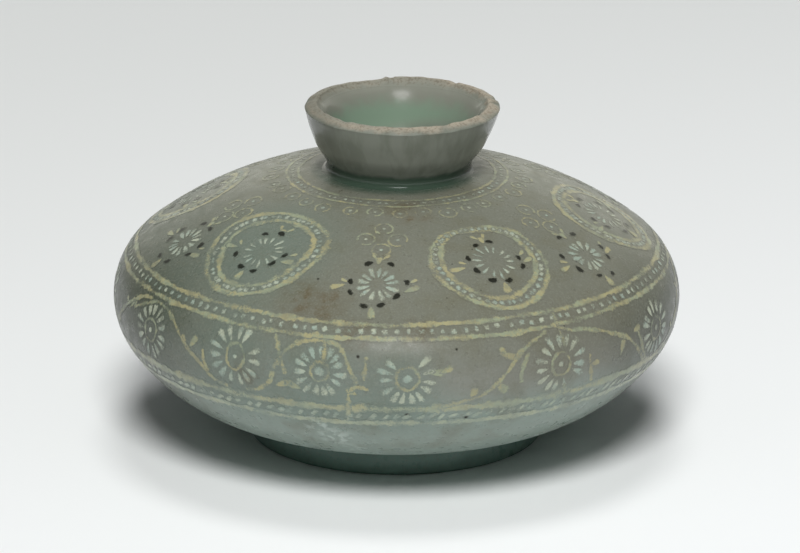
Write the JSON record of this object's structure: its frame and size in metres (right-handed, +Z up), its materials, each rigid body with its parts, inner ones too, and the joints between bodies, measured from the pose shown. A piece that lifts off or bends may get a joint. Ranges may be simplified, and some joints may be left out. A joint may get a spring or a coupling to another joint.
{
  "type": "celadon oil bottle",
  "caption": "Flattened round celadon oil bottle with a small funnel mouth, a low foot ring and inlaid bands, roundels, flowers and a leafy frieze in white and black clay.",
  "frame": {"origin": "middle of the foot ring's bearing face, on the bottle's axis", "axes": "+Z up along the bottle's axis out of the mouth, -Y towards the side that the picture shows"},
  "size_m": [0.0904, 0.0903, 0.0541],
  "materials": {
    "celadon": "glossy grey-green glaze on grey stoneware",
    "white_slip": "white inlaid clay under clear glaze",
    "buff_slip": "stained white inlaid clay under clear glaze",
    "black_slip": "black inlaid clay under clear glaze",
    "quartz": "bare white firing-support chips"
  },
  "bodies": {
    "root": {"lower_body": "celadon", "upper_body": "celadon", "foot_ring": "celadon", "neck": "celadon", "spur_marks": "quartz", "collar_inner_line": "buff_slip", "collar_outer_line": "buff_slip", "collar_beads": "white_slip", "cloud_curls": "buff_slip", "cloud_dots": "white_slip", "pendant_curls": "buff_slip", "pendant_dots": "white_slip", "roundel_inner_rings": "buff_slip", "roundel_outer_rings": "buff_slip", "roundel_beads": "white_slip", "roundel_petals": "white_slip", "roundel_leaves": "black_slip", "roundel_sprigs": "buff_slip", "flower_petals": "white_slip", "flower_leaves": "black_slip", "flower_sprigs": "buff_slip", "shoulder_upper_line": "buff_slip", "shoulder_lower_line": "buff_slip", "shoulder_beads": "white_slip", "frieze_petals": "white_slip", "frieze_rings": "buff_slip", "frieze_dots": "white_slip", "frieze_vine": "buff_slip", "frieze_leaves": "buff_slip", "base_upper_line": "buff_slip", "base_lower_line": "buff_slip", "base_beads": "white_slip"}
  },
  "joints": []
}
